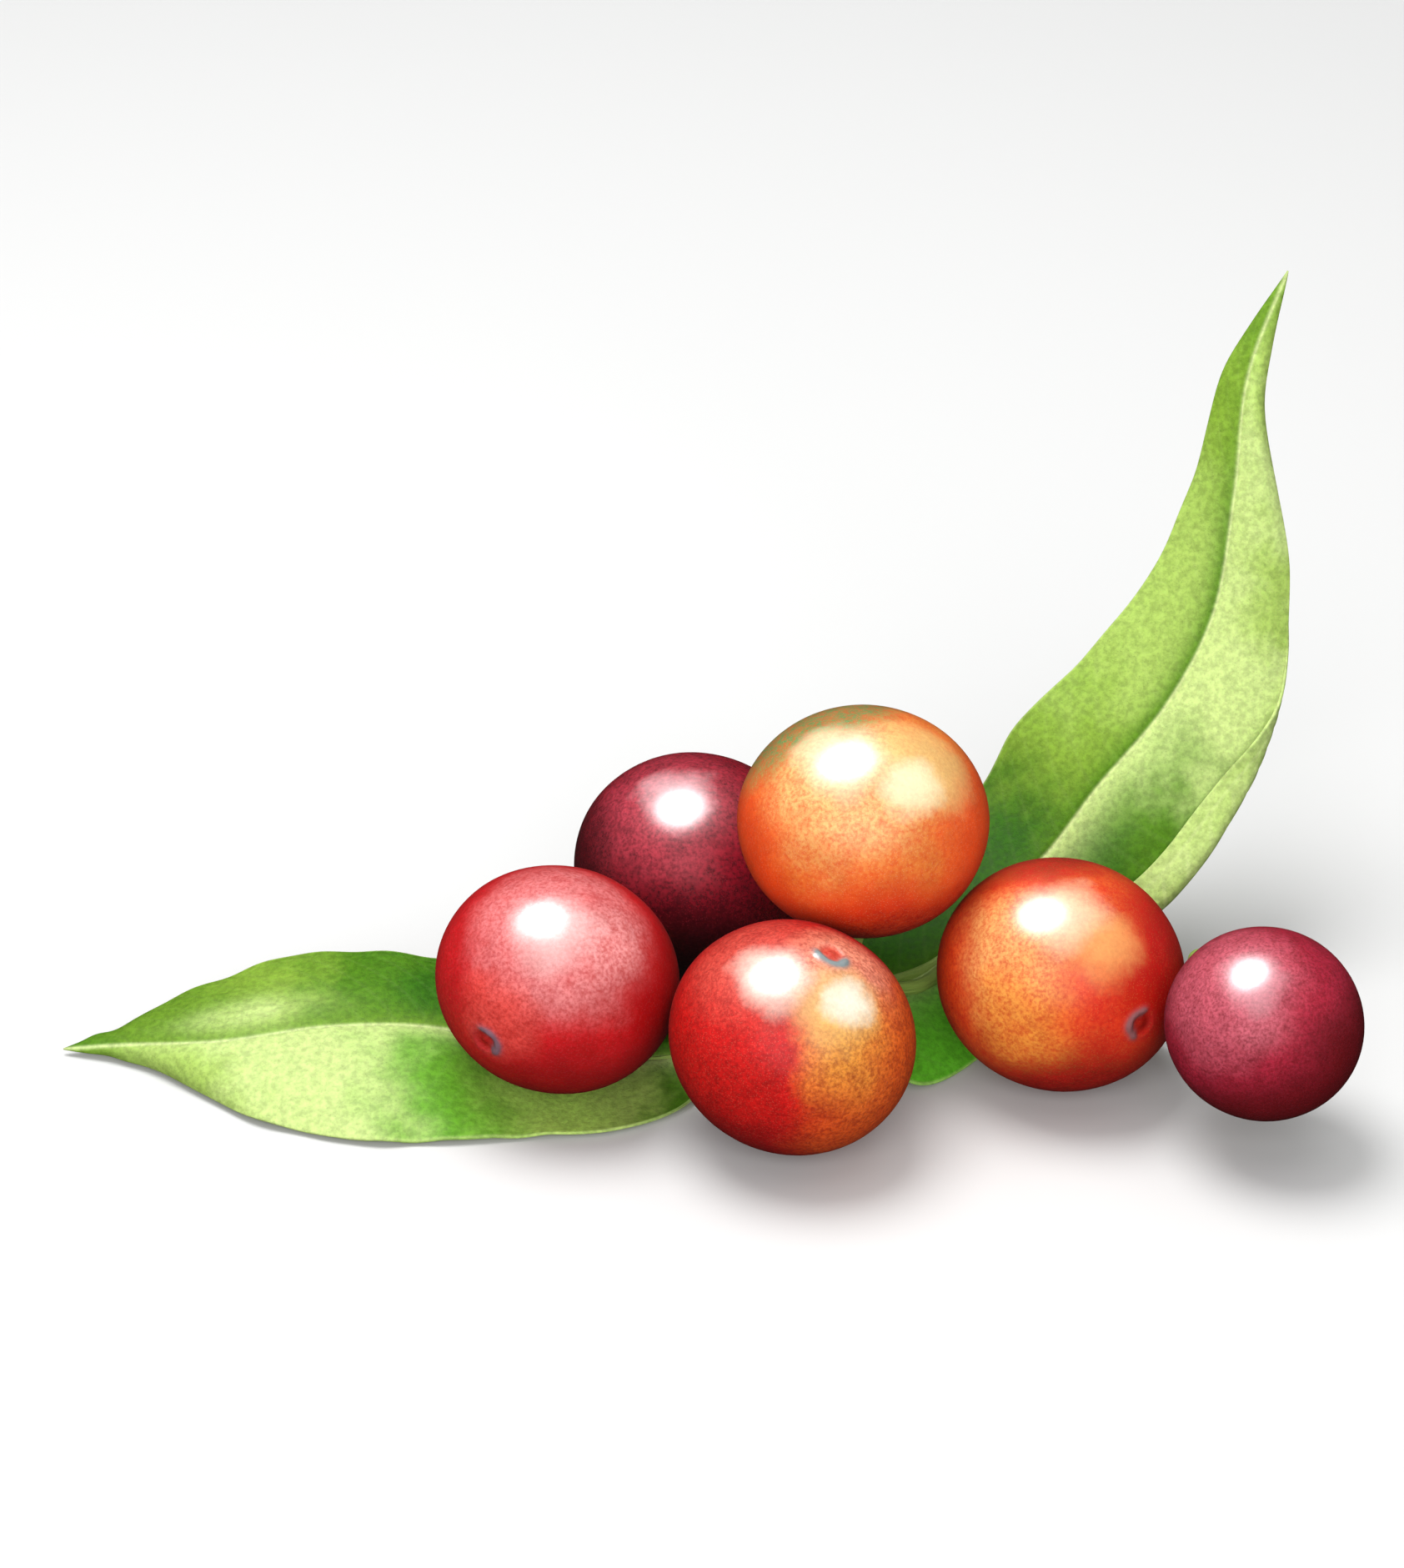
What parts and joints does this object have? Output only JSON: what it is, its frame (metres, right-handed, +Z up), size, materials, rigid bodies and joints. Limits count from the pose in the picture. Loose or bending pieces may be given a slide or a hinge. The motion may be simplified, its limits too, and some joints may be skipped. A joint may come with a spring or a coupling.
{
  "type": "camu camu sprig",
  "caption": "Cut fruiting sprig of camu camu: a heap of round, glossy, ripening berries in orange, red and maroon, with slender green leaves, lying on a surface.",
  "frame": {"origin": "on the surface that the sprig lies on, under the middle of its bounding box", "axes": "+Z up from the surface, +X to the right along the sprig, from the tip of the low leaf to the last fruit, +Y to the back, where the tall leaf leans"},
  "size_m": [0.1308, 0.0746, 0.0662],
  "materials": {
    "bark": "dull bark, brown on the twig and green on the stalks",
    "leaf_green": "satin leaf, paler along the midrib and below",
    "leaf_green_upright": "satin leaf, paler along the midrib and below",
    "skin_maroon": "glossy fruit skin",
    "skin_orange": "glossy fruit skin, green at the top",
    "skin_red": "glossy fruit skin",
    "skin_red_orange": "glossy fruit skin with an orange flush",
    "skin_orange_red": "glossy fruit skin with a red flush",
    "skin_crimson": "glossy fruit skin"
  },
  "bodies": {
    "root": {"twig": "bark", "leaf_left": "leaf_green", "leaf_right": "leaf_green_upright", "fruit_maroon_back": "skin_maroon", "fruit_orange_top": "skin_orange", "fruit_red_left": "skin_red", "fruit_red_orange_front": "skin_red_orange", "fruit_orange_right": "skin_orange_red", "fruit_crimson_right": "skin_crimson"}
  },
  "joints": []
}
